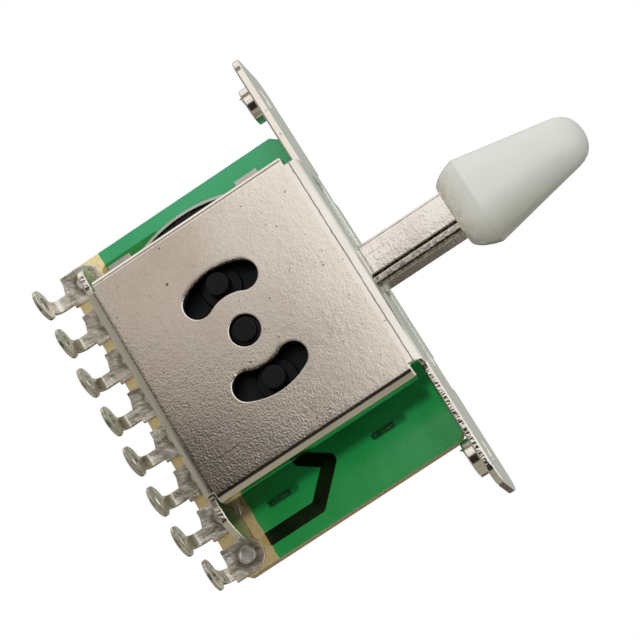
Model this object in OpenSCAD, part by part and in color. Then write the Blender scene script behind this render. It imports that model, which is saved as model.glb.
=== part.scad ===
// Lever selector switch for an electric guitar: folded plate and cover, printed
// board with eight soldering lugs, black rotor with a folded lever and a pale tip.
// Frame: origin midway between the two fixing holes on the plate's top face,
// +X along the plate, +Z along the lever, -Y towards the cover's front face.

/* [Mounting plate] */
// length of the plate along X, mm
plate_length = 49.2; // [46:0.1:52]
// depth of the plate behind the screw line, mm
plate_back = 5.8; // [4.5:0.1:7]
// depth of the wings in front of the screw line, mm
wing_front = 4.2; // [3:0.1:6]
// sheet thickness of the plate and cover, mm
sheet = 0.75; // [0.6:0.05:1.2]
// corner radius of the plate, mm
plate_corner = 2.2; // [0.5:0.1:3]
// distance between the two fixing holes, mm
screw_spacing = 41.3; // [40:0.1:42]
// drilled diameter of the tapped holes, mm
tap_drill = 2.5; // [2.2:0.05:3.2]
// outside diameter of the drawn bosses, mm
boss_od = 3.9; // [3.5:0.1:5]
// height of the bosses below the plate, mm
boss_height = 1.1; // [0.6:0.1:2.5]
// length of the lever slot, mm
slot_length = 21.6; // [18:0.1:24]
// width of the lever slot, mm
slot_width = 5.2; // [4.2:0.1:6]

/* [Cover] */
// width of the cover along X, mm
cover_width = 25.1; // [23:0.1:28]
// distance of the cover's front face from the screw line, mm
cover_front = 6.6; // [5.5:0.1:8]
// height from the plate's top to the underside of the bottom flange, mm
cover_height = 24.15; // [22:0.05:27]
// outside radius of the two folds, mm
fold_radius = 1.0; // [0.9:0.05:2]
// depth of the two side lips behind the cover's front face, mm
lip_depth = 2.2; // [1.2:0.05:2.3]
// outside radius of the two side folds, mm
side_fold = 0.8; // [0.76:0.02:1.2]
// width of the two long folds, mm
fold_width = 22.9; // [20:0.1:24]
// reach of the rounded ears from the centre, mm
ear_reach = 15.65; // [13:0.1:17]
// radius of the rounded ears, mm
ear_radius = 4.9; // [4:0.1:7]
// height of the pivot below the plate's top, mm
pivot_depth = 12.7; // [11:0.05:14]
// radius of the pivot hole, mm
pivot_hole = 1.5; // [1.2:0.05:2]
// pitch radius of the two curved slots, mm
peg_pitch = 5.3; // [4.5:0.05:6.5]
// half width of the curved slots, mm
curved_half = 1.45; // [1.2:0.05:2]
// half angle of the curved slots, degrees
curved_angle = 28.4; // [25:0.1:32]

/* [Circuit board] */
// width of the board along X, mm
board_width = 36; // [30:0.5:40]
// distance from the row of rivets to the board's bottom edge, mm
board_edge = 1.85; // [1.2:0.05:3]
// thickness of the board, mm
board_thick = 1.5; // [1:0.1:2]
// front of the board behind the screw line, mm
board_front = 2.8; // [2:0.1:4]

/* [Lugs] */
// distance between neighbouring lugs, mm
lug_pitch = 4.59; // [4:0.01:5.1]
// height of the rivets below the plate's top, mm
lug_height = 24.95; // [23:0.05:26]
// thickness of the lugs, mm
lug_thick = 0.4; // [0.3:0.05:0.6]
// outside diameter of the lug ring, mm
ring_od = 3.3; // [2.6:0.1:4]
// diameter of the wire hole in the ring, mm
ring_id = 1.5; // [1:0.1:2]

/* [Lever and rotor] */
// half the full swing of the lever, degrees
swing = 24; // [20:1:27]
// width of the lever along X, mm
lever_width = 4.6; // [4:0.1:5.5]
// thickness of the folded lever along Y, mm
lever_deep = 3.6; // [3:0.1:4.6]
// height of the pressed-on tip's lower end above the plate, mm
tip_base = 9.2; // [8:0.1:11]
// height of the tip's end above the plate, mm
tip_top = 23.8; // [20:0.1:26]
// radius of the rotor's detent rim, mm
rim_radius = 13.5; // [11:0.1:13.8]
// radius of the two pegs in the curved slots, mm
peg_radius = 1.12; // [0.8:0.01:1.3]

/* [Hidden] */
$fn = 64;
half = cover_width / 2;
face_y = -cover_front;
inner_y = face_y + sheet;
pz = -pivot_depth;
board_back = board_front + board_thick;
board_bottom = lug_height + board_edge;
lug_xs = [for (i = [0 : 7]) (i - 3.5) * lug_pitch];
lug_lean = [85, 86, 85, 87, 85, 84, 86, 90];
lug_neck = [1.38, 1.36, 1.42, 1.38, 1.38, 1.34, 1.32, 0.35];
lug_reach = [2.08, 2.08, 2.08, 2.08, 2.08, 2.08, 2.08, 3];
tab_x = 2 * lug_pitch;
spring_x = 13.05;
spring_zs = [-7.65, -19.5];
journal = pivot_hole - 0.05;
rear_journal = 1.5;
notch_r = 1.1;
notch_at = rim_radius + 0.5;

// a 2D bar from one point to another with round ends
module bar(a, b, w) {
    d = b - a;
    translate(a)
        rotate(atan2(d[1], d[0])) {
            translate([0, -w / 2]) square([norm(d), w]);
        }
    translate(b) circle(r = w / 2);
    translate(a) circle(r = w / 2);
}

// turns a drawing made in X and Z so that it is extruded from y0 to y1
module slab(y0, y1) {
    translate([0, y1, 0])
        rotate([90, 0, 0])
            linear_extrude(height = y1 - y0) children();
}

// the same about the pivot, with the drawing's origin on the pivot
module pivot_slab(y0, y1) {
    translate([0, 0, pz]) slab(y0, y1) children();
}

module fold(a, r = fold_radius) {
    difference() {
        intersection() {
            circle(r = r);
            rotate(a) square(r * 2);
        }
        circle(r = r - sheet);
    }
}

// side view of the folded strip, drawn with Y to the right and Z up
module strip_profile() {
    low = -cover_height;
    translate([face_y + fold_radius, -sheet])
        square([cover_front - wing_front - fold_radius + 0.4, sheet]);
    translate([face_y + fold_radius, -fold_radius]) fold(90);
    translate([face_y, low + fold_radius])
        square([sheet, cover_height - 2 * fold_radius]);
    translate([face_y + fold_radius, low + fold_radius]) fold(180);
    translate([face_y + fold_radius - 0.01, low]) square([1.2, sheet]);
}

// plan view of the cover: the front wall and its two side lips
module cover_plan() {
    translate([-half + side_fold, face_y]) square([cover_width - 2 * side_fold, sheet]);
    translate([-half + side_fold, face_y + side_fold]) fold(180, side_fold);
    translate([half - side_fold, face_y + side_fold]) fold(270, side_fold);
    for (s = [-1, 1])
        translate([s * (half - sheet / 2) - sheet / 2, face_y + side_fold])
            square([sheet, lip_depth - side_fold]);
}

module curved_slot(a, r_half) {
    translate([0, 0, pz]) rotate([90, 0, 0]) translate([0, 0, -inner_y - 1])
        rotate([0, 0, a - curved_angle])
            rotate_extrude(angle = 2 * curved_angle)
                translate([peg_pitch - r_half + 0.01, 0])
                    square([2 * r_half - 0.02, sheet + 2]);
    for (s = [-1, 1])
        translate([0, inner_y + 1, pz])
            rotate([0, -a - s * curved_angle, 0])
                translate([peg_pitch, 0, 0]) rotate([90, 0, 0])
                    cylinder(r = r_half, h = sheet + 2);
}

module ear(s) {
    translate([s * (ear_reach - ear_radius), -1.5]) circle(r = ear_radius);
}

module back_tooth(x) {
    // short tooth folded down behind the board
    y0 = board_back + 0.1;
    translate([x - 1.5, y0 + sheet - fold_radius, -fold_radius])
        rotate([90, 0, 90]) linear_extrude(height = 3) fold(0);
    translate([x - 1.5, y0, -4]) cube([3, sheet, 4 - fold_radius]);
}

module frame() {
    low = -cover_height;
    y0 = board_back + 0.1 + sheet - fold_radius;
    color("silver") difference() {
        union() {
            translate([0, 0, -sheet]) linear_extrude(height = sheet) difference() {
                union() {
                    difference() {
                        union() {
                            x = plate_length / 2 - plate_corner;
                            translate([-plate_length / 2, -wing_front + plate_corner])
                                square([plate_length, plate_back + wing_front - 2 * plate_corner]);
                            translate([-x, -wing_front])
                                square([2 * x, plate_back + wing_front]);
                            for (sx = [-1, 1], y = [-wing_front + plate_corner, plate_back - plate_corner])
                                translate([sx * x, y]) circle(r = plate_corner);
                        }
                        for (x = [-11, 11])
                            translate([x - 1.8, y0]) square([3.6, 4]);
                    }
                }
                translate([-slot_length / 2 + 0.8, -slot_width / 2])
                    square([slot_length - 1.6, slot_width]);
                translate([-slot_length / 2, -slot_width / 2 + 0.8])
                    square([slot_length, slot_width - 1.6]);
                for (sx = [-1, 1], sy = [-1, 1])
                    translate([sx * (slot_length / 2 - 0.8), sy * (slot_width / 2 - 0.8)])
                        circle(r = 0.8);
            }
            for (x = [-11, 11]) back_tooth(x);
            for (s = [-1, 1])
                translate([s * screw_spacing / 2, 0, -sheet - boss_height])
                    cylinder(r = boss_od / 2, h = boss_height + 0.1);
            translate([-fold_width / 2, 0, 0]) rotate([90, 0, 90])
                linear_extrude(height = fold_width) strip_profile();
            translate([0, 0, low + fold_radius + 0.1])
                linear_extrude(height = cover_height - 2 * fold_radius - 0.5) cover_plan();
            translate([0, 0, low]) linear_extrude(height = sheet) intersection() {
                union() {
                    translate([-fold_width / 2 - 0.7, face_y + fold_radius + 0.4])
                        square([fold_width + 1.4, cover_front - fold_radius + 1.6]);
                    ear(-1);
                    ear(1);
                }
                translate([-30, face_y + fold_radius + 0.4]) square([60, cover_front - fold_radius + 1.6]);
            }
            // two narrow tabs that pass through the board
            for (s = [-1, 1])
                translate([s * tab_x - 0.7, 1.5, low]) cube([1.4, board_back + 0.7 - 1.5, sheet]);
        }
        for (s = [-1, 1])
            translate([s * screw_spacing / 2, 0, -5]) cylinder(r = tap_drill / 2, h = 6);
        translate([0, inner_y + 1, pz]) rotate([90, 0, 0]) cylinder(r = pivot_hole, h = sheet + 2);
        curved_slot(0, curved_half);
        curved_slot(180, curved_half);
    }
}

module circuit_board() {
    color("green") difference() {
        slab(board_front, board_back) difference() {
            polygon([[-board_width / 2, -2], [-board_width / 2 + 1, -sheet - 0.05],
                [board_width / 2 - 1, -sheet - 0.05], [board_width / 2, -2],
                [board_width / 2, -board_bottom + 1], [board_width / 2 - 1, -board_bottom],
                [-board_width / 2 + 1, -board_bottom], [-board_width / 2, -board_bottom + 1]]);
            for (s = [-1, 1], z = spring_zs)
                translate([s * spring_x - 0.25, z - 1.2]) square([0.5, 2.4]);
            for (s = [-1, 1])
                translate([s * tab_x - 0.8, -cover_height - 0.1]) square([1.6, sheet + 0.2]);
        }
        translate([0, board_back + 1, pz]) rotate([90, 0, 0])
            cylinder(r = rear_journal + 0.06, h = board_thick + 2);
        for (x = lug_xs)
            translate([x, board_back + 1, -lug_height]) rotate([90, 0, 0])
                cylinder(r = 0.7, h = board_thick + 2);
    }
}

// one copper run from a lug to its contact pad near the pivot
module track(points, w = 1.3) {
    for (i = [0 : len(points) - 2]) bar(points[i], points[i + 1], w);
}

function ring_point(r, a) = [r * cos(a), pz + r * sin(a)];

module copper_tracks() {
    zl = -lug_height + 2.6;
    outer = lug_height - pivot_depth - 3.25;
    inner = outer - 1.5;
    color("peru") slab(board_front - 0.06, board_front) difference() {
        union() {
            track([[15.85, zl], [15.85, zl + 5.65], [12.65, zl + 8.85], [10.9, zl + 6.45], ring_point(outer, -24)], 1.4);
            track([[lug_xs[6], zl], [lug_xs[6], zl + 1.95], ring_point(outer, -40)]);
            track([[lug_xs[5], zl], [lug_xs[5], zl + 1.35], ring_point(outer, -58)]);
            track([[lug_xs[4], zl], ring_point(inner, -78)]);
            track([[lug_xs[3], zl], ring_point(inner, -102)]);
            track([[lug_xs[2], zl], [lug_xs[2], zl + 1.35], ring_point(outer, -122)]);
            track([[lug_xs[1], zl], [lug_xs[1], zl + 1.95], ring_point(outer, -142)]);
            track([[-15.85, zl], [-15.85, zl + 5.65], ring_point(outer, -168)], 1.4);
            for (a = [-24, -40, -58, -122, -142, -168])
                translate(ring_point(outer, a)) circle(r = 1.1);
            for (a = [-78, -102])
                translate(ring_point(inner, a)) circle(r = 1.1);
        }
        for (s = [-1, 1], z = spring_zs)
            translate([s * spring_x - 0.6, z - 1.4]) square([1.2, 2.8]);
    }
}

module lug(i) {
    // pad on the board, offset neck bent forward, ring at its end
    x = lug_xs[i];
    lean = lug_lean[i];
    y1 = board_front;
    y0 = y1 - lug_thick;
    z0 = -board_bottom - lug_neck[i];
    bend = 0.7;
    reach = lug_reach[i];
    nx = x - 0.05;
    step = min(0.6, lug_neck[i]);
    color("lightgray") {
        difference() {
            slab(y0, y1) {
                translate([x, -lug_height]) circle(r = 1.75);
                translate([x - 1.75, -board_bottom - 0.3]) square([3.5, board_bottom - lug_height + 0.3]);
                translate([nx, z0 - 0.02]) square([1.4, lug_neck[i] + 0.3]);
                polygon([[x - 1.1, -board_bottom - 0.28], [nx + 0.02, -board_bottom - step],
                    [nx + 0.1, -board_bottom - step], [nx + 0.1, -board_bottom - 0.28]]);
            }
            translate([x, y1 + 1, -lug_height]) rotate([90, 0, 0]) cylinder(r = 0.7, h = 3);
        }
        // the neck's bend towards the cover
        translate([nx, y0 - bend, z0]) rotate([0, 90, 0])
            rotate([0, 0, 90 - lean]) rotate_extrude(angle = lean)
                translate([bend, 0]) square([lug_thick, 1.4]);
        // straight neck and ring
        translate([nx + 0.7, y0 - bend, z0]) rotate([90 - lean, 0, 0])
            translate([0, 0, -bend - lug_thick]) linear_extrude(height = lug_thick) difference() {
                union() {
                    translate([-0.7, -reach]) square([1.4, reach + 0.02]);
                    translate([0, -reach]) circle(r = ring_od / 2);
                }
                translate([0, -reach]) circle(r = ring_id / 2);
            }
    }
}

module rivet(i) {
    x = lug_xs[i];
    y0 = board_front - lug_thick;
    color("silver") translate([x, 0, -lug_height]) rotate([-90, 0, 0]) difference() {
        union() {
            translate([0, 0, y0 - 0.22]) cylinder(r = 0.87, h = 0.22);
            translate([0, 0, y0 - 0.1]) cylinder(r = 0.7, h = board_back + 0.3 - y0);
            translate([0, 0, board_back]) cylinder(r = 1.1, h = 0.3);
        }
        translate([0, 0, y0 - 0.3]) cylinder(r = 0.62, h = 0.24);
    }
}

module lug_1() { lug(0); }
module lug_2() { lug(1); }
module lug_3() { lug(2); }
module lug_4() { lug(3); }
module lug_5() { lug(4); }
module lug_6() { lug(5); }
module lug_7() { lug(6); }
module lug_8() { lug(7); }
module rivet_1() { rivet(0); }
module rivet_2() { rivet(1); }
module rivet_3() { rivet(2); }
module rivet_4() { rivet(3); }
module rivet_5() { rivet(4); }
module rivet_6() { rivet(5); }
module rivet_7() { rivet(6); }
module rivet_8() { rivet(7); }

module detent_spring() {
    // arched leaf of 0.3 mm strip; its end ears face the front and its legs stand in the board
    r = 14;
    yf = -3.6;
    yr = 0.6;
    peak = -14.25;
    flat_x = peak + r - sqrt(r * r - 30.25);
    color("silver") {
        intersection() {
            pivot_slab(yf, yr) translate([peak + r, 0]) difference() {
                circle(r = r, $fn = 160);
                circle(r = r - 0.3, $fn = 160);
            }
            translate([-15, -10, pz - 5.6]) cube([6, 20, 11.2]);
        }
        // pressed rib that rests in the rotor's notches
        intersection() {
            translate([-notch_at, yr, pz]) rotate([90, 0, 0]) cylinder(r = 1, h = yr + 2.2);
            translate([-14.2, -10, pz - 3]) cube([3, 20, 6]);
        }
        for (s = [-1, 1]) {
            translate([flat_x, yf, s > 0 ? pz + 5.5 : pz - 8.6]) cube([0.3, yr - yf, 3.1]);
            translate([-13.85, yf, s > 0 ? pz + 6.1 : pz - 8.6]) cube([1.6, 0.3, 2.5]);
        }
        translate([flat_x - 0.1, yr - 0.3, pz + 4.1]) cube([0.3, board_back + 0.8 - yr, 2.0]);
        translate([flat_x - 0.1, yr - 0.3, pz - 7.8]) cube([0.3, board_back + 0.8 - yr, 2.0]);
    }
}

module fan(r, a) {
    // sector of a circle that points to -X
    intersection() {
        circle(r = r, $fn = 160);
        polygon([[0, 0], [-2 * r * cos(a), 2 * r * sin(a)], [-2 * r * cos(a), -2 * r * sin(a)]]);
    }
}

module rotor() {
    color("#1b1b1b") difference() {
        union() {
            // front journal and proud end
            translate([0, -5.0, pz]) rotate([90, 0, 0]) cylinder(r = journal, h = cover_front - 5.35);
            translate([0, -6, pz]) rotate([90, 0, 0]) cylinder(r = 1.15, h = cover_front + 0.15 - 6);
            // hub and rear journal
            translate([0, 1.9, pz]) rotate([90, 0, 0]) cylinder(r = 3.2, h = 1.9 - inner_y - 0.1);
            translate([0, board_back + 0.6, pz]) rotate([90, 0, 0]) cylinder(r = rear_journal, h = board_thick + 2);
            // web with the raised pads and the pegs
            pivot_slab(-4.2, -2.2) {
                circle(r = 7.4);
                fan(rim_radius - 1.5, 27);
            }
            for (s = [-1, 1]) {
                translate([s * peg_pitch, -4.1, pz]) rotate([90, 0, 0]) cylinder(r = 2, h = 0.8);
                translate([s * peg_pitch, -4.5, pz]) rotate([90, 0, 0]) cylinder(r = peg_radius, h = cover_front + 0.05 - 4.5);
            }
            // notched rim of the detent
            pivot_slab(-4.2, 1.2) difference() {
                fan(rim_radius, 27);
                circle(r = rim_radius - 2.4);
            }
            // rear web that carries the wipers
            pivot_slab(0.2, 1.9) {
                bar([-8.6, 0], [8.6, 0], 4.4);
                circle(r = 5.2);
            }
            // stem inside the folded lever
            translate([-1.45, -1.0, pz + 2]) cube([2.9, 2.0, 7.5]);
        }
        for (a = [-24, -12, 0, 12, 24])
            translate([0, 3, pz]) rotate([0, a, 0]) translate([-notch_at, 0, 0]) rotate([90, 0, 0])
                cylinder(r = notch_r, h = 5.4);
    }
}

module lever() {
    // one folded strip: back, two sides and two front lips with a seam between them
    w = lever_width;
    d = lever_deep;
    t = sheet;
    r = 0.9;
    z0 = pz + 5.4;
    z1 = tip_base + 7.5;
    color("gainsboro") translate([0, 0, z0]) linear_extrude(height = z1 - z0) difference() {
        union() {
            translate([-w / 2 + r, -d / 2]) square([w - 2 * r, d]);
            translate([-w / 2, -d / 2 + r]) square([w, d - 2 * r]);
            for (sx = [-1, 1], sy = [-1, 1])
                translate([sx * (w / 2 - r), sy * (d / 2 - r)]) circle(r = r);
        }
        translate([-w / 2 + t, -d / 2 + t]) square([w - 2 * t, d - 2 * t]);
        translate([0.95, -d]) square([0.35, d]);
    }
}

module lever_tip() {
    // moulded tip, pressed over the lever
    h = tip_top;
    color("whitesmoke") difference() {
        hull() {
            for (sx = [-1, 1], sy = [-1, 1]) {
                translate([sx * 2.2, sy * 1.9, tip_base]) cylinder(r = 0.65, h = 0.1, $fn = 24);
                translate([sx * 3.55, sy * 1.7, tip_base + 2.3]) sphere(r = 1.2, $fn = 32);
            }
            for (sx = [-1, 1])
                translate([sx * 0.75, 0, h - 1.75]) scale([1, 1, 1]) sphere(r = 1.75, $fn = 40);
        }
        translate([-lever_width / 2, -lever_deep / 2, tip_base - 1])
            cube([lever_width, lever_deep, 8.5]);
    }
}

module wiper(s) {
    // bronze spring blade on the back of the rotor with three fingers
    y0 = 1.9;
    color("goldenrod") {
        pivot_slab(y0, y0 + 0.25) translate([s * 6.4 - 1.5, -1.6]) square([3, 3.2]);
        for (z = [-1.1, 0, 1.1])
            translate([s * 7.9, y0, pz + z - 0.35]) {
                rotate([0, 0, s > 0 ? 14 : 166])
                    translate([-0.1, s > 0 ? 0 : -0.25, 0]) cube([1.9, 0.25, 0.7]);
            }
    }
}

module wiper_left() { wiper(-1); }
module wiper_right() { wiper(1); }

frame();
circuit_board();
copper_tracks();
lug_1();
lug_2();
lug_3();
lug_4();
lug_5();
lug_6();
lug_7();
lug_8();
rivet_1();
rivet_2();
rivet_3();
rivet_4();
rivet_5();
rivet_6();
rivet_7();
rivet_8();
detent_spring();
rotor();
lever();
lever_tip();
wiper_left();
wiper_right();
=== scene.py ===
import math
import bmesh
import bpy
from mathutils import Matrix, Vector


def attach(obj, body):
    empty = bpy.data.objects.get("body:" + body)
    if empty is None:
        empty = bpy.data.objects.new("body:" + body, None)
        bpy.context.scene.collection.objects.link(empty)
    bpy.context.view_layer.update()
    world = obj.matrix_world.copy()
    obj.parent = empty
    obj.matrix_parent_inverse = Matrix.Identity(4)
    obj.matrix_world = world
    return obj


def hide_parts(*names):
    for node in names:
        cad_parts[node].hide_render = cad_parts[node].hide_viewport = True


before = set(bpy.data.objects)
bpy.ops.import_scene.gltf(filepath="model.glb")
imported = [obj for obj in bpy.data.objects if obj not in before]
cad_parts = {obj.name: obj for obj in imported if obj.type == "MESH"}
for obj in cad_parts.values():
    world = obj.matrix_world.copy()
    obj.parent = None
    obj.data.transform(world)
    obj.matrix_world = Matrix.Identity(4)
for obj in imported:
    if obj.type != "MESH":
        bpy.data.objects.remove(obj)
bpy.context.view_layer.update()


# Mounting plate and cover
# One steel sheet, pressed, folded down at the front edge and nickel plated.
# The edges are slightly rounded by the press tool; the plating is worn and spotted.
def shade(r, g, b):
    """A colour as it looks on a screen, 0 to 255, turned into linear values."""
    return ((r / 255) ** 2.2, (g / 255) ** 2.2, (b / 255) ** 2.2, 1.0)


def new_material(name, metal, rough):
    """A material with its own node tree and one Principled shader."""
    material = bpy.data.materials.new(name)
    material.use_nodes = True
    shader = material.node_tree.nodes["Principled BSDF"]
    shader.inputs["Metallic"].default_value = metal
    shader.inputs["Roughness"].default_value = rough
    return material, material.node_tree, shader


def noise(tree, scale, detail=4.0, stretch=(1.0, 1.0, 1.0), rough=0.5):
    """Grain in the part's own metres, so a scale of 1000 gives lumps of about 1 mm."""
    place = tree.nodes.new("ShaderNodeTexCoord")
    squeeze = tree.nodes.new("ShaderNodeMapping")
    squeeze.inputs["Scale"].default_value = stretch
    grain = tree.nodes.new("ShaderNodeTexNoise")
    grain.inputs["Scale"].default_value = scale
    grain.inputs["Detail"].default_value = detail
    grain.inputs["Roughness"].default_value = rough
    tree.links.new(place.outputs["Object"], squeeze.inputs["Vector"])
    tree.links.new(squeeze.outputs["Vector"], grain.inputs["Vector"])
    return grain.outputs[0]


def coordinate(tree, axis):
    """One coordinate of the surface point, in the part's own metres."""
    place = tree.nodes.new("ShaderNodeTexCoord")
    split = tree.nodes.new("ShaderNodeSeparateXYZ")
    tree.links.new(place.outputs["Object"], split.inputs[0])
    return split.outputs[axis]


def facing(tree, axis):
    """One part of the surface's own direction, -1 to 1."""
    surface = tree.nodes.new("ShaderNodeNewGeometry")
    split = tree.nodes.new("ShaderNodeSeparateXYZ")
    tree.links.new(surface.outputs["Normal"], split.inputs[0])
    return split.outputs[axis]


def spread(tree, value, low, high, to_low=0.0, to_high=1.0):
    """A value mapped from one range to another and kept inside it."""
    scale = tree.nodes.new("ShaderNodeMapRange")
    scale.inputs["From Min"].default_value = low
    scale.inputs["From Max"].default_value = high
    scale.inputs["To Min"].default_value = to_low
    scale.inputs["To Max"].default_value = to_high
    tree.links.new(value, scale.inputs["Value"])
    return scale.outputs["Result"]


def reckon(tree, how, first, second):
    """Two values added, multiplied and so on; the second may be a plain number."""
    sum_node = tree.nodes.new("ShaderNodeMath")
    sum_node.operation = how
    tree.links.new(first, sum_node.inputs[0])
    if isinstance(second, (int, float)):
        sum_node.inputs[1].default_value = second
    else:
        tree.links.new(second, sum_node.inputs[1])
    return sum_node.outputs[0]


def ramp(tree, value, stops):
    """Colours along a value from 0 to 1, each stop a place and a colour."""
    band = tree.nodes.new("ShaderNodeValToRGB")
    tree.links.new(value, band.inputs[0])
    band.color_ramp.elements[0].position = stops[0][0]
    band.color_ramp.elements[0].color = stops[0][1]
    band.color_ramp.elements[1].position = stops[-1][0]
    band.color_ramp.elements[1].color = stops[-1][1]
    for place, colour in stops[1:-1]:
        band.color_ramp.elements.new(place).color = colour
    return band.outputs[0]


def mixed(tree, mask, first, second):
    """The first colour where the mask is 0 and the second where it is 1."""
    mix = tree.nodes.new("ShaderNodeMix")
    mix.data_type = "RGBA"
    tree.links.new(mask, mix.inputs[0])
    tree.links.new(first, mix.inputs[6])
    tree.links.new(second, mix.inputs[7])
    return mix.outputs[2]


def bump(tree, shader, layers):
    """Raised and sunk grain; each layer is a height value and its depth in metres."""
    last = None
    for height, depth in layers:
        relief = tree.nodes.new("ShaderNodeBump")
        relief.inputs["Strength"].default_value = 1.0
        relief.inputs["Distance"].default_value = depth
        tree.links.new(height, relief.inputs["Height"])
        if last is not None:
            tree.links.new(last, relief.inputs["Normal"])
        last = relief.outputs["Normal"]
    tree.links.new(last, shader.inputs["Normal"])


def product(tree, first, *others):
    """Several values multiplied; all but the first may be plain numbers."""
    for other in others:
        first = reckon(tree, "MULTIPLY", first, other)
    return first


def near(tree, value, middle, full, none, most=1.0):
    """A soft mask round one place: `most` up to the distance `full` and 0 from `none` on."""
    away = reckon(tree, "ABSOLUTE", reckon(tree, "ADD", value, -middle), 0.0)
    return spread(tree, away, full, none, most, 0.0)


def refined(node, name, edge, material, sharp=35, steps=2):
    """A copy of a CAD node with joined corners, whole flat faces and rounded edges."""
    mesh = bpy.data.meshes.new(name)
    shape = bmesh.new()
    shape.from_mesh(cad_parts[node].data)
    bmesh.ops.remove_doubles(shape, verts=shape.verts, dist=2e-6)
    bmesh.ops.dissolve_limit(shape, angle_limit=math.radians(0.6), verts=shape.verts, edges=shape.edges)
    for line in shape.edges:
        line.smooth = line.is_manifold and line.calc_face_angle(0.0) < math.radians(sharp)
    for face in shape.faces:
        face.smooth = True
    shape.to_mesh(mesh)
    shape.free()
    piece = bpy.data.objects.new(name, mesh)
    bpy.context.scene.collection.objects.link(piece)
    mesh.materials.clear()
    mesh.materials.append(material)
    if edge:
        rounding = piece.modifiers.new("rounded_edges", "BEVEL")
        rounding.width = edge
        rounding.segments = steps
        rounding.limit_method = "ANGLE"
        rounding.angle_limit = math.radians(sharp)
        rounding.harden_normals = True
        rounding.use_clamp_overlap = False
    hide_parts(node)
    return piece


pivot_z = -0.0127
peg_radius = 0.0053
curved_half = 0.00145
outer_edge = peg_radius + curved_half
inner_edge = peg_radius - curved_half
slot_half_length = 0.0110
slot_half_width = 0.0028
fold_shade_z = -0.0009
sheet_middle_z = -0.0004
flange_top_z = -0.0226

nickel, tree, shader = new_material("nickel_plating", 1.0, 0.3)
at_x = coordinate(tree, "X")
at_y = coordinate(tree, "Y")
at_z = coordinate(tree, "Z")
cloud = noise(tree, 130, 5.0)
speck = noise(tree, 5200, 2.0)
pit = noise(tree, 1700, 2.0)

# Sound plating is warm; where it faces up it is painted cooler and darker, as painted shade.
sound = ramp(tree, cloud, [
    (0.3, shade(226, 217, 206)), (0.5, shade(235, 227, 217)), (0.7, shade(241, 235, 226))])
top_shade = ramp(tree, cloud, [(0.3, shade(178, 183, 172)), (0.7, shade(194, 199, 188))])
sound = mixed(tree, spread(tree, facing(tree, "Z"), 0.7, 0.95), sound, top_shade)
brown = ramp(tree, speck, [(0.35, shade(40, 30, 24)), (0.65, shade(92, 78, 66))])

# The cover's face is stained and rougher towards its lower corner on the lug 8 side.
corner = reckon(tree, "ADD", product(tree, at_x, 0.62), product(tree, at_z, -0.78))
ragged = reckon(tree, "ADD", corner, spread(tree, cloud, 0.3, 0.7, -0.004, 0.004))
on_cover = product(
    tree, spread(tree, facing(tree, "Y"), -0.97, -0.9, 1.0, 0.0),
    spread(tree, at_y, -0.0064, -0.0060, 1.0, 0.0))
stained = product(tree, spread(tree, ragged, 0.016, 0.0275), on_cover, 0.85)
rough = product(tree, spread(tree, ragged, 0.012, 0.027, 0.13, 1.0), on_cover)
small = product(tree, spread(tree, speck, 0.54, 0.64, 0.0, 0.6), rough)
dots = reckon(tree, "MAXIMUM", spread(tree, pit, 0.70, 0.76, 0.0, 0.8), small)
marked = reckon(tree, "MAXIMUM", stained, dots)

# One long scratch by the lower edge.
scratch = reckon(tree, "ADD", at_x, spread(tree, cloud, 0.3, 0.7, -0.0090, -0.0088))
scratch = product(
    tree, near(tree, scratch, 0.0, 0.00003, 0.00010, 0.75), spread(tree, at_z, -0.0223, -0.0212),
    spread(tree, at_z, -0.0192, -0.0172, 1.0, 0.0), on_cover)
marked = reckon(tree, "MAXIMUM", marked, scratch)

# The fold from the plate to the cover shows as a thin dark line of painted shade.
fold_shade = reckon(tree, "ADD", at_z, spread(tree, pit, 0.3, 0.7, -0.00003, 0.00003))
fold_shade = product(tree, near(tree, fold_shade, fold_shade_z, 0.00003, 0.00009, 0.8), on_cover)

# Painted shade darkens the outer edge of one curved slot and the inner edge of the other.
height = reckon(tree, "ADD", at_z, -pivot_z)
from_pivot = reckon(tree, "ADD", product(tree, at_x, at_x), product(tree, height, height))
from_pivot = reckon(tree, "SQRT", from_pivot, 0.0)
outer = product(
    tree, spread(tree, from_pivot, outer_edge + 0.00005, outer_edge + 0.0005, 1.0, 0.0),
    spread(tree, from_pivot, outer_edge - 0.0003, outer_edge - 0.0002),
    spread(tree, at_x, -0.0040, -0.0030, 1.0, 0.0), near(tree, height, 0.0, 0.0032, 0.0038))
inner = product(
    tree, spread(tree, from_pivot, inner_edge - 0.0005, inner_edge - 0.00005),
    spread(tree, from_pivot, inner_edge + 0.0002, inner_edge + 0.0003, 1.0, 0.0),
    spread(tree, at_x, 0.0020, 0.0030), near(tree, height, 0.0, 0.0019, 0.0024))
darkening = product(
    tree, reckon(tree, "MAXIMUM", outer, inner), spread(tree, speck, 0.35, 0.6, 0.35, 1.0),
    spread(tree, facing(tree, "Y"), -0.3, -0.2, 1.0, 0.0))
# Stains, dots and the scratch, with the painted shade of the fold and the slot edges, all take the brown.
wear_and_shade = reckon(tree, "MAXIMUM", darkening, reckon(tree, "MAXIMUM", marked, fold_shade))
wear_and_shade = mixed(tree, wear_and_shade, sound, brown)

# The punched walls of the lever slot are dull.
punched = product(
    tree, near(tree, at_x, 0.0, slot_half_length, slot_half_length + 0.0001),
    near(tree, at_y, 0.0, slot_half_width, slot_half_width + 0.00005),
    near(tree, facing(tree, "Z"), 0.0, 0.85, 0.95))
dull = ramp(tree, cloud, [(0.3, shade(208, 213, 201)), (0.7, shade(226, 230, 219))])
tree.links.new(mixed(tree, punched, wear_and_shade, dull), shader.inputs["Base Color"])
tree.links.new(spread(tree, punched, 0.0, 1.0, 1.0, 0.1), shader.inputs["Metallic"])
smooth = spread(tree, cloud, 0.3, 0.7, 0.11, 0.17)
tree.links.new(reckon(tree, "MAXIMUM", smooth, product(tree, punched, 0.7)), shader.inputs["Roughness"])

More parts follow.
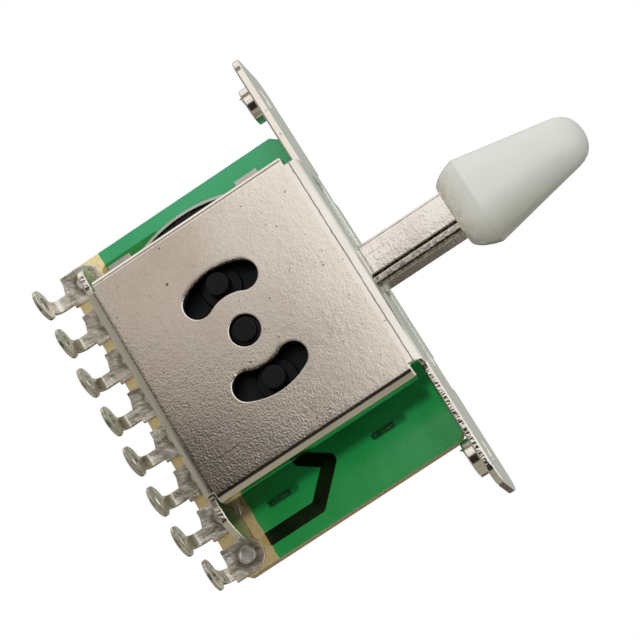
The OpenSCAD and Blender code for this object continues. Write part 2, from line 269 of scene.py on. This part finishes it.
# The shears left the plate's front edge and the flange's ears torn.
beyond = spread(tree, reckon(tree, "ABSOLUTE", at_x, 0.0), 0.0112, 0.0116)
torn = product(
    tree, spread(tree, at_y, -0.00418, -0.00412, 1.0, 0.0), spread(tree, at_z, -0.0009, -0.0007),
    beyond, spread(tree, at_x, -0.001, 0.001, 0.08, 0.9))
middle = reckon(tree, "ABSOLUTE", reckon(tree, "ADD", at_z, -sheet_middle_z), 0.0)
torn = product(tree, torn, spread(tree, middle, 0.00018, 0.00028, 1.0, 0.1))
ears = product(
    tree, spread(tree, reckon(tree, "ABSOLUTE", at_x, 0.0), 0.0124, 0.0127),
    spread(tree, at_z, flange_top_z - 0.0002, flange_top_z, 1.0, 0.0))
torn = product(tree, noise(tree, 3600, 1.0, (1.0, 1.0, 0.4)), reckon(tree, "MAXIMUM", torn, ears))
bump(tree, shader, [
    (noise(tree, 1100, 2.0), 0.000003), (product(tree, speck, rough), 0.000026),
    (pit, 0.000003), (torn, 0.00008)])
plate = refined("frame", "plate_and_cover", 0.00016, nickel, steps=3)
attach(plate, "switch")


# Threads in the two bosses
# The bosses are drawn down from the plate and tapped for M3 screws.
# Each thread is a ridge that winds down the hole, cut in the same plated steel.
def built(name, points, faces, material):
    """A new object from its corner points and faces."""
    mesh = bpy.data.meshes.new(name)
    mesh.from_pydata(points, [], faces)
    mesh.materials.append(material)
    piece = bpy.data.objects.new(name, mesh)
    bpy.context.scene.collection.objects.link(piece)
    return piece


def thread(name, x):
    """A V-shaped ridge that winds down a tapped hole."""
    top_z = -0.00017
    pitch = 0.0005
    turns = 3.6
    steps = 40
    root = 0.00129
    crest = 0.00119
    half_width = 0.00021
    points = []
    faces = []
    total = int(turns * steps)
    for i in range(total + 1):
        angle = 2 * math.pi * i / steps
        z = top_z - pitch * i / steps
        for radius, lift in ((root, half_width), (crest, 0.0), (root, -half_width)):
            points.append((x + radius * math.cos(angle), radius * math.sin(angle), z + lift))
    for i in range(total):
        for k in range(2):
            a = 3 * i + k
            faces.append((a, a + 1, a + 4, a + 3))
        faces.append((3 * i + 2, 3 * i, 3 * i + 3, 3 * i + 5))
    piece = built(name, points, faces, nickel)
    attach(piece, "switch")


boss_x = 0.02065
thread("thread_left", -boss_x)
thread("thread_right", boss_x)


# Circuit board
# Tan glass laminate with green solder mask on the front, down to the bare strip by the lugs.
# It is held by two tabs and two teeth of the cover, and by the detent spring's legs.
mask_line_z = -0.0225
slot_x = 0.01305
upper_patch_z = -0.0069
lower_patch_z = -0.01905

board_paint, tree, shader = new_material("masked_laminate", 0.0, 0.12)
at_x = coordinate(tree, "X")
at_z = coordinate(tree, "Z")
weave = noise(tree, 1800, 3.0, (1.0, 1.0, 3.0))
cloud = noise(tree, 120, 4.0)

# Bare laminate, with painted shade that makes it browner away from the lug 1 side.
tan = ramp(tree, weave, [
    (0.3, shade(196, 178, 132)), (0.5, shade(208, 190, 144)), (0.7, shade(218, 202, 158))])
shaded_tan = ramp(tree, weave, [(0.3, shade(128, 108, 66)), (0.7, shade(150, 130, 86))])
tan_shade = reckon(
    tree, "MAXIMUM", spread(tree, at_x, -0.0155, -0.0135, 0.0, 0.55),
    spread(tree, at_x, -0.017, 0.004, 0.0, 0.75))
tan = mixed(tree, tan_shade, tan, shaded_tan)

# Solder mask, with a painted sheen that makes it paler on the lug 1 side and painted shade round the two
# unused slots.
green = ramp(tree, cloud, [
    (0.3, shade(28, 122, 58)), (0.5, shade(36, 130, 66)), (0.7, shade(46, 138, 76))])
pale = ramp(tree, cloud, [(0.3, shade(44, 140, 90)), (0.7, shade(58, 150, 100))])
green = mixed(tree, spread(tree, at_x, -0.016, -0.011, 1.0, 0.0), green, pale)
# Painted shade: a dark green patch round each of the two unused slots.
ends = reckon(
    tree, "MAXIMUM", near(tree, at_z, upper_patch_z, 0.0016, 0.0020),
    near(tree, at_z, lower_patch_z, 0.0015, 0.0019))
slot_shade = product(tree, near(tree, at_x, 0.013, 0.00025, 0.00065), ends, 0.65)
shaded_green = ramp(tree, cloud, [(0.3, shade(4, 50, 20)), (0.7, shade(10, 62, 28))])
green = mixed(tree, slot_shade, green, shaded_green)
front = spread(tree, facing(tree, "Y"), -0.9, -0.6, 1.0, 0.0)
wave = spread(tree, noise(tree, 500, 2.0), 0.3, 0.7, -0.00008, 0.00008)
above = spread(tree, reckon(tree, "ADD", at_z, wave), mask_line_z - 0.00003, mask_line_z + 0.00003)
masked = product(tree, front, above)
face = mixed(tree, masked, tan, green)

# The walls of the holes are stained by the mask.
walls = product(
    tree, near(tree, at_x, 0.0, 0.0176, 0.0177), spread(tree, at_z, -0.0262, -0.0260),
    spread(tree, at_z, -0.0021, -0.0020, 1.0, 0.0), near(tree, facing(tree, "Y"), 0.0, 0.5, 0.7))
wall_green = ramp(tree, weave, [(0.3, shade(40, 96, 52)), (0.7, shade(52, 116, 66))])
tree.links.new(mixed(tree, walls, face, wall_green), shader.inputs["Base Color"])
tree.links.new(spread(tree, masked, 0.0, 1.0, 0.6, 0.14), shader.inputs["Roughness"])
shader.inputs["Specular IOR Level"].default_value = 0.55
bump(tree, shader, [(weave, 0.00001), (noise(tree, 350, 2.0), 0.00002)])
board = refined("circuit_board", "board", 0.00006, board_paint)
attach(board, "switch")


# Skins in the two unused slots
# Solder mask has closed the slots of the lug 8 side, but for two thin tears in each.
# Each skin is a film that hangs in the slot and reaches just over its edges.
def outward(piece, sharp=None):
    """Faces turned outwards; with an angle, smooth shading except at sharper edges."""
    shape = bmesh.new()
    shape.from_mesh(piece.data)
    bmesh.ops.recalc_face_normals(shape, faces=shape.faces)
    if sharp is not None:
        for face in shape.faces:
            face.smooth = True
        for line in shape.edges:
            line.smooth = line.calc_face_angle(0.0) < math.radians(sharp)
    shape.to_mesh(piece.data)
    shape.free()


# The film is painted a much darker green than the mask, as painted shade in the slots.
shaded_skin_paint, tree, shader = new_material("slot_skin", 0.0, 0.3)
film = noise(tree, 1500, 3.0)
tree.links.new(
    ramp(tree, film, [(0.3, shade(8, 54, 24)), (0.7, shade(16, 72, 36))]), shader.inputs["Base Color"])
tree.links.new(spread(tree, film, 0.3, 0.7, 0.25, 0.4), shader.inputs["Roughness"])
bump(tree, shader, [(film, 0.00002)])


def skin(name, low, high, tears):
    """Two thin strips that meet in the middle of a slot, apart from its tears."""
    steps = 48
    lip = 0.00031
    wall = 0.000245
    front_y = 0.002792
    back_y = 0.00305
    points = []
    faces = []
    for side in (-1, 1):
        first = len(points)
        for i in range(steps + 1):
            z = low + (high - low) * i / steps
            gap = 0.000004
            for start, end, wide in tears:
                if start < z < end:
                    gap = max(gap, wide * math.sqrt(math.sin(math.pi * (z - start) / (end - start))))
            sink = 0.00004 * math.sin(9000 * z)
            for x, y in ((lip, front_y), (gap, front_y), (gap, back_y + sink), (wall, back_y)):
                points.append((slot_x + side * x, y, z))
        for i in range(steps):
            for k in range(4):
                a = first + 4 * i + k
                b = first + 4 * i + (k + 1) % 4
                faces.append((a, b, b + 4, a + 4))
        last = first + 4 * steps
        faces.append((first, first + 1, first + 2, first + 3))
        faces.append((last + 3, last + 2, last + 1, last))
    piece = built(name, points, faces, shaded_skin_paint)
    outward(piece)
    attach(piece, "switch")


skin("upper_slot_skin", -0.0089, -0.0064, [(-0.0074, -0.0066, 0.0001), (-0.0085, -0.0083, 0.00008)])
skin("lower_slot_skin", -0.02075, -0.01825, [(-0.0195, -0.0185, 0.0001), (-0.0204, -0.0202, 0.00007)])


# Copper tracks
# Etched copper foil on the board's front, under the mask except by the lugs and the contacts.
# Through the mask it shows as a darker, raised green-brown strip.
track_paint, tree, shader = new_material("masked_copper", 0.0, 0.15)
shader.inputs["Specular IOR Level"].default_value = 0.15
at_x = coordinate(tree, "X")
at_z = coordinate(tree, "Z")
cloud = noise(tree, 600, 4.0)
under = ramp(tree, cloud, [(0.3, shade(12, 22, 8)), (0.7, shade(22, 34, 16))])
bare = ramp(tree, cloud, [(0.3, shade(140, 116, 70)), (0.7, shade(170, 146, 98))])
olive = ramp(tree, cloud, [(0.3, shade(38, 116, 54)), (0.7, shade(52, 128, 64))])

# The track hardly shows on the lug 1 side, or low down between the middle and the dark bend.
faint = product(
    tree, spread(tree, at_x, 0.0, 0.0001), spread(tree, at_x, 0.0146, 0.0147, 1.0, 0.0),
    spread(tree, at_z, -0.0172, -0.0171, 1.0, 0.0))
faint = reckon(tree, "MAXIMUM", faint, spread(tree, at_x, -0.012, -0.011, 0.75, 0.0))
hidden = mixed(tree, faint, under, olive)
above = spread(tree, at_z, mask_line_z - 0.00003, mask_line_z + 0.00003)
tree.links.new(mixed(tree, above, bare, hidden), shader.inputs["Base Color"])
tree.links.new(spread(tree, above, 0.0, 1.0, 0.25, 0.0), shader.inputs["Metallic"])
tree.links.new(spread(tree, cloud, 0.3, 0.7, 0.12, 0.3), shader.inputs["Roughness"])
bump(tree, shader, [(cloud, 0.00001)])
tracks = refined("copper_tracks", "tracks", 0.00002, track_paint)
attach(tracks, "switch")


# Soldering lugs
# Eight lugs stamped from tinned brass, riveted to the board and bent forward by hand.
# The tin is dull and mottled, with a ring of painted shade round each rivet.
lug_count = 8
lug_pitch = 0.00459
rivet_z = -0.02495

tin, tree, shader = new_material("dull_tin", 1.0, 0.42)
cloud = noise(tree, 420, 5.0)
fine = noise(tree, 3200, 3.0)
pale = ramp(tree, cloud, [
    (0.35, shade(206, 200, 185)), (0.5, shade(226, 220, 207)), (0.65, shade(242, 238, 228))])
darkening = ramp(tree, fine, [(0.3, shade(96, 86, 70)), (0.7, shade(150, 140, 120))])
step = reckon(tree, "ADD", coordinate(tree, "X"), lug_pitch * 10)
sideways = reckon(tree, "SUBTRACT", reckon(tree, "MODULO", step, lug_pitch), lug_pitch / 2)
upright = reckon(tree, "ADD", coordinate(tree, "Z"), -rivet_z)
away = reckon(tree, "ADD", reckon(tree, "POWER", sideways, 2.0), reckon(tree, "POWER", upright, 2.0))
away = reckon(tree, "SQRT", away, 0.0)
# Painted shade: a darker ring round each rivet.
rivet_shade = spread(tree, away, 0.0011, 0.0016, 0.75, 0.0)
wear_and_shade = reckon(tree, "MAXIMUM", spread(tree, noise(tree, 700, 6.0), 0.57, 0.72, 0.0, 0.5), rivet_shade)
tree.links.new(mixed(tree, wear_and_shade, pale, darkening), shader.inputs["Base Color"])
tree.links.new(spread(tree, cloud, 0.3, 0.7, 0.2, 0.36), shader.inputs["Roughness"])
bump(tree, shader, [(noise(tree, 750, 3.0, (1.0, 1.0, 0.5)), 0.00016), (fine, 0.00001)])
for number in range(1, lug_count + 1):
    lug = refined(f"lug_{number}", f"soldering_lug_{number}", 0.00007, tin)
    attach(lug, "switch")


# Rivets
# Eight tubular rivets hold the lugs to the board; the front rim is rolled over.
# They are plated like the lugs but brighter.
rivet_paint, tree, shader = new_material("rivet_plating", 1.0, 0.32)
cloud = noise(tree, 900, 4.0)
tree.links.new(
    ramp(tree, cloud, [(0.3, shade(178, 176, 170)), (0.7, shade(230, 228, 222))]),
    shader.inputs["Base Color"])
tree.links.new(spread(tree, cloud, 0.3, 0.7, 0.24, 0.42), shader.inputs["Roughness"])
bump(tree, shader, [(cloud, 0.000012)])
for number in range(1, lug_count + 1):
    rivet = refined(f"rivet_{number}", f"tubular_rivet_{number}", 0.00008, rivet_paint)
    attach(rivet, "switch")


# Detent spring
# A bowed strip of spring steel on the lug 1 side; its legs go through slots in the board.
# A rib pressed into it drops into the notches of the rotor's rim.
spring_paint, tree, shader = new_material("spring_strip", 1.0, 0.3)
streak = noise(tree, 900, 4.0, (1.0, 6.0, 0.4))
tree.links.new(
    ramp(tree, streak, [(0.3, shade(190, 187, 180)), (0.7, shade(230, 227, 220))]),
    shader.inputs["Base Color"])
tree.links.new(spread(tree, streak, 0.3, 0.7, 0.24, 0.4), shader.inputs["Roughness"])
bump(tree, shader, [(streak, 0.000008)])
spring = refined("detent_spring", "bowed_spring", 0.00004, spring_paint)
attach(spring, "switch")


# Rotor
# Moulded black plastic; its two pegs run in the cover's curved slots and its rim has the notches.
# The surface is smooth from the mould, a little paler in patches.
black, tree, shader = new_material("black_moulding", 0.0, 0.3)
cloud = noise(tree, 300, 5.0)
fine = noise(tree, 3500, 2.0)
tree.links.new(
    ramp(tree, cloud, [(0.3, shade(12, 11, 12)), (0.6, shade(20, 19, 20)), (0.8, shade(34, 33, 33))]),
    shader.inputs["Base Color"])
tree.links.new(spread(tree, cloud, 0.3, 0.7, 0.25, 0.45), shader.inputs["Roughness"])
shader.inputs["Specular IOR Level"].default_value = 0.22
bump(tree, shader, [(fine, 0.000006), (cloud, 0.00002)])
rotor = refined("rotor", "notched_rotor", 0.00012, black)
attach(rotor, "lever")


# Wipers
# Two contact springs of thin bronze strip on the rotor's back, three fingers each.
# They press on the board's contacts and can't be seen from the front.
bronze, tree, shader = new_material("spring_bronze", 1.0, 0.3)
streak = noise(tree, 700, 4.0, (0.5, 1.0, 5.0))
tree.links.new(
    ramp(tree, streak, [(0.3, shade(176, 130, 74)), (0.7, shade(216, 172, 112))]),
    shader.inputs["Base Color"])
tree.links.new(spread(tree, streak, 0.3, 0.7, 0.24, 0.42), shader.inputs["Roughness"])
bump(tree, shader, [(streak, 0.000008)])
for side in ("left", "right"):
    wiper = refined(f"wiper_{side}", f"contact_{side}", 0.00003, bronze)
    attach(wiper, "lever")


# Lever
# A plated steel strip folded round into a flat tube, open along a seam at the front.
# It is fixed in the rotor; the plating is brushed along its length and scratched.
lever_paint, tree, shader = new_material("lever_plating", 1.0, 0.2)
brush = noise(tree, 1300, 5.0, (1.0, 1.0, 0.15))
cloud = noise(tree, 260, 4.0)
fine = noise(tree, 3600, 2.0)
plated = ramp(tree, cloud, [
    (0.3, shade(228, 219, 210)), (0.5, shade(238, 230, 222)), (0.7, shade(244, 238, 231))])
rubbed = ramp(tree, fine, [(0.35, shade(84, 72, 62)), (0.65, shade(190, 180, 170))])
beside = product(
    tree, spread(tree, coordinate(tree, "X"), 0.00125, 0.0014, 0.0, 0.8),
    spread(tree, coordinate(tree, "Y"), -0.0016, -0.0014, 1.0, 0.3))
tree.links.new(mixed(tree, beside, plated, rubbed), shader.inputs["Base Color"])
tree.links.new(spread(tree, brush, 0.3, 0.7, 0.12, 0.24), shader.inputs["Roughness"])
crease = reckon(tree, "ABSOLUTE", reckon(tree, "ADD", coordinate(tree, "X"), 0.0009), 0.0)
crease = spread(tree, crease, 0.00002, 0.00009)
bump(tree, shader, [(brush, 0.000006), (fine, 0.00002), (cloud, 0.000008), (crease, 0.000005)])

foot_z = -0.0073
end_z = 0.0167
inner_x = 0.00155
inner_y = 0.00105
arc_steps = 8
# The strip's section: a rounded corner is its centre, its radius and the angle it starts at.
corners = [
    (0.00134, -0.00168, 0.00012, 180), (0.0018, -0.0013, 0.0005, 270), (0.0014, 0.0009, 0.0009, 0),
    (-0.0014, 0.0009, 0.0009, 90), (-0.0018, -0.0013, 0.0005, 180), (0.00086, -0.00168, 0.00012, 270)]
outline = [(0.00122, -inner_y)]
for x, y, radius, start in corners:
    for k in range(arc_steps + 1):
        turn = math.radians(start + 90 * k / arc_steps)
        outline.append((x + radius * math.cos(turn), y + radius * math.sin(turn)))
outline += [
    (0.00098, -inner_y), (-inner_x, -inner_y), (-inner_x, inner_y), (inner_x, inner_y), (inner_x, -inner_y)]
count = len(outline)
points = [(x, y, z) for z in (foot_z, end_z) for x, y in outline]
faces = [(i, (i + 1) % count, (i + 1) % count + count, i + count) for i in range(count)]
faces += [tuple(range(count - 1, -1, -1)), tuple(range(count, 2 * count))]
lever = built("folded_lever", points, faces, lever_paint)
outward(lever, 30)
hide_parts("lever")
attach(lever, "lever")


# Lever tip
# Milky white plastic, moulded hollow and pressed over the lever's end.
# Wide and rounded above a bevelled base, it narrows to a round end; it is darker towards the base and in
# spots.
waist_z = 0.0118
around = 72
base_squareness = 2.5


def ring(width, depth, z, power):
    """Points of a rounded rectangle at one height, in metres."""
    points = []
    for i in range(around):
        angle = 2 * math.pi * i / around
        c = math.cos(angle)
        s = math.sin(angle)
        x = math.copysign(abs(c) ** (2 / power), c) * width
        y = math.copysign(abs(s) ** (2 / power), s) * depth
        points.append((x, y, z))
    return points


milky, tree, shader = new_material("milky_plastic", 0.0, 0.3)
at_x = coordinate(tree, "X")
at_z = coordinate(tree, "Z")
cloud = noise(tree, 220, 4.0)
fine = noise(tree, 2200, 4.0)
clean = ramp(tree, cloud, [(0.3, shade(192, 193, 187)), (0.7, shade(195, 196, 190))])
shaded_plastic = ramp(tree, cloud, [(0.3, shade(158, 157, 142)), (0.7, shade(166, 165, 151))])
# Painted shade: darker on the bevel below the waist and towards the lug 8 side.
bevel_shade = spread(tree, at_z, waist_z - 0.00002, waist_z + 0.00008, 0.3, 0.0)
tip_shade = reckon(tree, "MAXIMUM", bevel_shade, spread(tree, at_x, 0.0008, 0.0042, 0.0, 0.95))
clean = mixed(tree, tip_shade, clean, shaded_plastic)
darker_plastic = ramp(tree, fine, [(0.3, shade(150, 144, 128)), (0.7, shade(182, 176, 162))])
low = product(tree, spread(tree, at_z, 0.0095, 0.0112, 1.0, 0.0), 0.8)
darker_parts = reckon(tree, "MAXIMUM", low, spread(tree, fine, 0.66, 0.78, 0.0, 0.35))
tree.links.new(mixed(tree, darker_parts, clean, darker_plastic), shader.inputs["Base Color"])
tree.links.new(spread(tree, fine, 0.3, 0.7, 0.2, 0.26), shader.inputs["Roughness"])
shader.inputs["Subsurface Weight"].default_value = 0.25
shader.inputs["Subsurface Radius"].default_value = (0.0012, 0.0011, 0.001)
bump(tree, shader, [(fine, 0.000005)])

# Height, half width and half depth of each ring, from the base to the round end.
sizes = [
    (0.0092, 0.0030, 0.00195), (0.0093, 0.0033, 0.00208), (0.0097, 0.00370, 0.00230),
    (0.0102, 0.00402, 0.00250), (0.0110, 0.00437, 0.00273), (waist_z, 0.00461, 0.00292),
    (0.0140, 0.00419, 0.00266), (0.0160, 0.00380, 0.00245), (0.0180, 0.00341, 0.00224),
    (0.0200, 0.00303, 0.00203), (0.0216, 0.00272, 0.00186), (0.0223, 0.00252, 0.00170),
    (0.0229, 0.00218, 0.00146), (0.0233, 0.00176, 0.00116), (0.02355, 0.00132, 0.00086),
    (0.02372, 0.0008, 0.00052), (0.02379, 0.0003, 0.0002)]
socket = (0.00231, 0.00181)
rings = [ring(*socket, 0.01672, 24.0), ring(*socket, 0.0092, 24.0)]
for z, width, depth in sizes:
    rings.append(ring(width, depth, z, base_squareness - 0.4 * max(0.0, (z - waist_z) / 0.012)))
    if z == waist_z:
        rings.append(ring(width - 0.00002, depth - 0.00002, z + 0.0001, base_squareness))
points = [point for one in rings for point in one]
faces = []
for first in range(0, len(points) - around, around):
    for i in range(around):
        a = first + i
        b = first + (i + 1) % around
        faces.append((a, b, b + around, a + around))
faces.append(tuple(range(around - 1, -1, -1)))
faces.append(tuple(range(len(points) - around, len(points))))
tip = built("moulded_tip", points, faces, milky)
outward(tip, 50)
for line in tip.data.edges:
    if all(abs(points[i][2] - waist_z) < 1e-6 for i in line.vertices):
        line.use_edge_sharp = True
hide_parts("lever_tip")
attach(tip, "lever")


# Floor
# A plain pale sheet well below the switch, which is held up in the air as in the photo.
# It catches the soft shadow and is seen only in views from above.
floor_radius = 0.16
floor_z = -0.12
floor_paint, tree, shader = new_material("pale_sheet", 0.0, 0.8)
tree.links.new(
    ramp(tree, noise(tree, 30, 3.0), [(0.3, shade(236, 236, 234)), (0.7, shade(242, 242, 240))]),
    shader.inputs["Base Color"])
bump(tree, shader, [(noise(tree, 900, 3.0), 0.00001)])
turns = [2 * math.pi * i / 96 for i in range(96)]
rim = [(math.cos(turn) * floor_radius, math.sin(turn) * floor_radius, floor_z) for turn in turns]
floor = built("floor", rim, [tuple(range(len(rim)))], floor_paint)


# Light
# A white room, two soft lamps, and cards round the switch that only its reflections show.
# The room is white to the eye and in reflections, and weaker as light.
world = bpy.data.worlds.new("white_room")
bpy.context.scene.world = world
world.use_nodes = True
tree = world.node_tree
path = tree.nodes.new("ShaderNodeLightPath")
seen = reckon(tree, "ADD", path.outputs["Is Camera Ray"], path.outputs["Is Glossy Ray"])
seen = reckon(tree, "ADD", seen, path.outputs["Is Transmission Ray"])
tree.links.new(spread(tree, seen, 0.0, 1.0, 0.48, 1.0), tree.nodes["Background"].inputs["Strength"])
tree.nodes["Background"].inputs["Color"].default_value = (1.0, 1.0, 1.0, 1.0)


def lamp(name, place, size, power):
    """A soft square lamp that looks at the middle of the switch and isn't mirrored in it."""
    data = bpy.data.lights.new(name, "AREA")
    data.size = size
    data.energy = power
    one = bpy.data.objects.new(name, data)
    one.location = place
    one.rotation_euler = (Vector(place) - Vector((0, 0, -0.01))).to_track_quat("Z", "Y").to_euler()
    one.visible_glossy = False
    bpy.context.scene.collection.objects.link(one)


lamp("key_lamp", (-0.005, -0.5, 0.03), 0.05, 1.3)
lamp("fill_lamp", (-0.45, -0.25, 0.05), 0.2, 1.1)


def shown_in_reflections(name, low, high, corners):
    """A glowing sheet that neither the camera nor the light on the switch sees."""
    paint, tree, shader = new_material(name, 0.0, 0.9)
    glow = ramp(tree, noise(tree, 12, 2.0), [(0.3, low), (0.7, high)])
    tree.links.new(glow, shader.inputs["Emission Color"])
    shader.inputs["Emission Strength"].default_value = 1.0
    shader.inputs["Base Color"].default_value = (0.0, 0.0, 0.0, 1.0)
    one = built(name, corners, [tuple(range(len(corners)))], paint)
    one.visible_camera = False
    one.visible_diffuse = False
    one.visible_shadow = False
    return one


def card(name, low, high, start, end, bottom, top):
    """An upright card seen only in reflections, between two points on the ground."""
    corners = [(*start, bottom), (*end, bottom), (*end, top), (*start, top)]
    return shown_in_reflections(name, low, high, corners)


dark = shade(26, 20, 16)
brown = shade(44, 36, 30)
card("card_right", dark, brown, (-0.06, -0.61), (0.4, -0.48), -0.5, 0.2)
card("card_side", shade(142, 140, 124), shade(160, 158, 142), (0.4, -0.48), (0.65, 0.25), -0.5, 0.2)
card("card_left", shade(136, 122, 110), shade(156, 142, 128), (-0.46, -0.386), (-0.58, -0.155), -0.4, 0.12)
card("card_back_low", shade(84, 78, 70), shade(100, 94, 86), (-0.8, 0.75), (0.75, 0.75), -0.3, 0.0)
shown_in_reflections(
    "card_low", shade(140, 140, 130), shade(156, 156, 146),
    [(-0.3, -0.2, -0.11), (0.3, -0.2, -0.11), (0.3, 0.2, -0.11), (-0.3, 0.2, -0.11)])
card("card_back", shade(180, 183, 174), shade(192, 195, 186), (-0.8, 0.75), (0.75, 0.75), 0.0, 0.5)
card("card_beside", shade(150, 148, 130), shade(166, 164, 146), (0.65, 0.25), (0.75, 0.75), -0.3, 0.5)

# The card in front is white along its top, grey on its left and dark elsewhere.
front_card = card("card_front", dark, brown, (-0.46, -0.6), (-0.06, -0.6), -0.5, -0.03)
tree = front_card.data.materials[0].node_tree
shader = tree.nodes["Principled BSDF"]
at_x = coordinate(tree, "X")
at_z = coordinate(tree, "Z")
level = product(
    tree, spread(tree, at_x, -0.187, -0.145, 0.56, 0.09), spread(tree, at_z, -0.2, -0.13, 0.1, 1.0))
slope = product(tree, reckon(tree, "ADD", at_x, 0.2), -0.12)
height = reckon(tree, "ADD", at_z, slope)
level = reckon(tree, "MAXIMUM", level, spread(tree, height, -0.09, -0.052, 0.06, 1.0))
tree.links.new(
    ramp(tree, level, [
        (0.0, (0.0, 0.0, 0.0, 1.0)), (0.2, (0.2, 0.168, 0.145, 1.0)), (0.6, (0.6, 0.55, 0.5, 1.0)),
        (1.0, (1.1, 1.09, 1.06, 1.0))]),
    shader.inputs["Emission Color"])


# Camera
# Fitted to the photo: 16.4 degrees round to the right, 5.6 degrees up, rolled by 56.5 degrees.
# A long lens from 230 mm away.
azimuth = math.radians(16.44)
elevation = math.radians(5.59)
roll = math.radians(56.54)
target = Vector((0.00205, -0.0026, -0.00662))
distance = 0.22969
back = Vector((math.sin(azimuth) * math.cos(elevation), -math.cos(azimuth) * math.cos(elevation),
               math.sin(elevation)))
right = Vector((math.cos(azimuth), math.sin(azimuth), 0.0))
up = back.cross(right)
across = math.cos(roll) * right + math.sin(roll) * up
over = math.cos(roll) * up - math.sin(roll) * right
place = target + back * distance
lens = bpy.data.cameras.new("photo_camera")
lens.lens = 137.1
lens.sensor_width = 36.0
lens.clip_start = 0.005
lens.clip_end = 10.0
camera = bpy.data.objects.new("photo_camera", lens)
camera.matrix_world = Matrix((
    (across.x, over.x, back.x, place.x),
    (across.y, over.y, back.y, place.y),
    (across.z, over.z, back.z, place.z),
    (0.0, 0.0, 0.0, 1.0)))
bpy.context.scene.collection.objects.link(camera)
bpy.context.scene.camera = camera
bpy.context.scene.view_settings.view_transform = "Standard"
